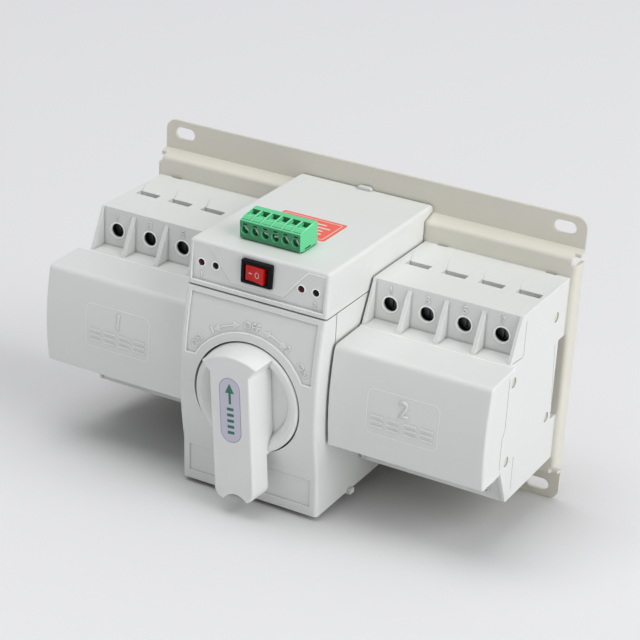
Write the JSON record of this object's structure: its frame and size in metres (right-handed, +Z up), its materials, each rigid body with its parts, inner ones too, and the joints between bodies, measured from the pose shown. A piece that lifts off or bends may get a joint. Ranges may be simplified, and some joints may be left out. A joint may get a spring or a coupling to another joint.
{
  "type": "dual-supply transfer switch",
  "caption": "Two four-pole breakers and a drive unit with a turn knob, dial, rocker and plug-in terminal block on a slotted steel plate.",
  "frame": {"origin": "centre of the four mounting slots, on the base plate's back face", "axes": "+X right along the plate seen from the front, +Y into the wall, +Z up"},
  "size_m": [0.2252, 0.1193, 0.1422],
  "materials": {
    "plate_paint": "fine matt powder coat, warm ivory",
    "housing_plastic": "fine moulded matt, cool off-white",
    "steel": "zinc-plated steel",
    "brass": "plain turned or stamped brass",
    "black_plastic": "black moulded plastic",
    "gear_nylon": "natural nylon",
    "board": "green solder mask on glass-epoxy board",
    "capacitor_can": "bare can",
    "lamp_red": "unlit red epoxy lens",
    "lamp_dark": "unlit dark epoxy lens",
    "rocker_red": "glossy red",
    "plug_green": "green moulded plastic"
  },
  "bodies": {
    "base": {"base_plate": "plate_paint", "fixing_screws": "steel", "breaker_left": "housing_plastic", "breaker_rivets_left": "steel", "terminal_screws_left": "steel", "terminal_clamps_left": "brass", "toggle_rod_left": "steel", "nose_cover_left": "housing_plastic", "breaker_right": "housing_plastic", "breaker_rivets_right": "steel", "terminal_screws_right": "steel", "terminal_clamps_right": "brass", "toggle_rod_right": "steel", "nose_cover_right": "housing_plastic", "hood": "housing_plastic", "rear_housing": "housing_plastic", "front_cover": "housing_plastic", "front_bush": "brass", "rear_bush": "brass", "frame_front": "steel", "frame_rear": "steel", "frame_spacers": "steel", "frame_screws": "steel", "idler_pin": "steel", "motor": "steel", "limit_switches": "black_plastic", "circuit_board": "board", "board_screws": "steel", "relays": "black_plastic", "capacitor": "capacitor_can", "supply_lamps": "lamp_red", "closed_lamps": "lamp_dark", "rocker_switch_body": "black_plastic", "terminal_header": "plug_green", "header_pins": "brass"},
    "knob": {"knob": "housing_plastic", "main_shaft": "steel", "shaft_clip": "steel", "main_gear": "steel", "drive_cam": "gear_nylon"},
    "idler": {"idler_gear": "gear_nylon"},
    "motor_rotor": {"motor_pinion": "steel"},
    "handles_left": {"toggles_left": "black_plastic", "tie_bar_left": "steel"},
    "handles_right": {"toggles_right": "black_plastic", "tie_bar_right": "steel"},
    "mode_rocker": {"rocker": "rocker_red"},
    "plug": {"plug_body": "plug_green", "plug_screws": "steel", "plug_clamps": "brass"}
  },
  "joints": [
    {"name": "knob_turn", "type": "hinge", "parent": "base", "child": "knob", "pos_m": [0, -0.08, -0.0065], "axis": [0, -1, 0], "range_deg": [-54.8, 45.2]},
    {"name": "idler_spin", "type": "hinge", "parent": "base", "child": "idler", "pos_m": [-0.01183, -0.072, -0.03188], "axis": [0, -1, 0], "range_deg": [-166.73, 201.93]},
    {"name": "motor_spin", "type": "hinge", "parent": "base", "child": "motor_rotor", "pos_m": [0.00897, -0.068, -0.03188], "axis": [0, -1, 0], "range_deg": [-671.78, 554.44]},
    {"name": "left_handles_swing", "type": "hinge", "parent": "base", "child": "handles_left", "pos_m": [-0.072, -0.064, 0], "axis": [-1, 0, 0], "range_deg": [0, 50]},
    {"name": "right_handles_swing", "type": "hinge", "parent": "base", "child": "handles_right", "pos_m": [0.072, -0.064, 0], "axis": [-1, 0, 0], "range_deg": [0, 50]},
    {"name": "mode_rocker_tip", "type": "hinge", "parent": "base", "child": "mode_rocker", "pos_m": [0, -0.0998, 0.0518], "axis": [0, 0, 1], "range_deg": [0, 20]},
    {"name": "plug_pull", "type": "slide", "parent": "base", "child": "plug", "axis": [0, 0, 1], "range_m": [0, 0.012]}
  ],
  "couplings": [
    {"joint": "idler_spin", "follows": "knob_turn", "ratio": -3.6667},
    {"joint": "motor_spin", "follows": "knob_turn", "ratio": 12.222}
  ]
}
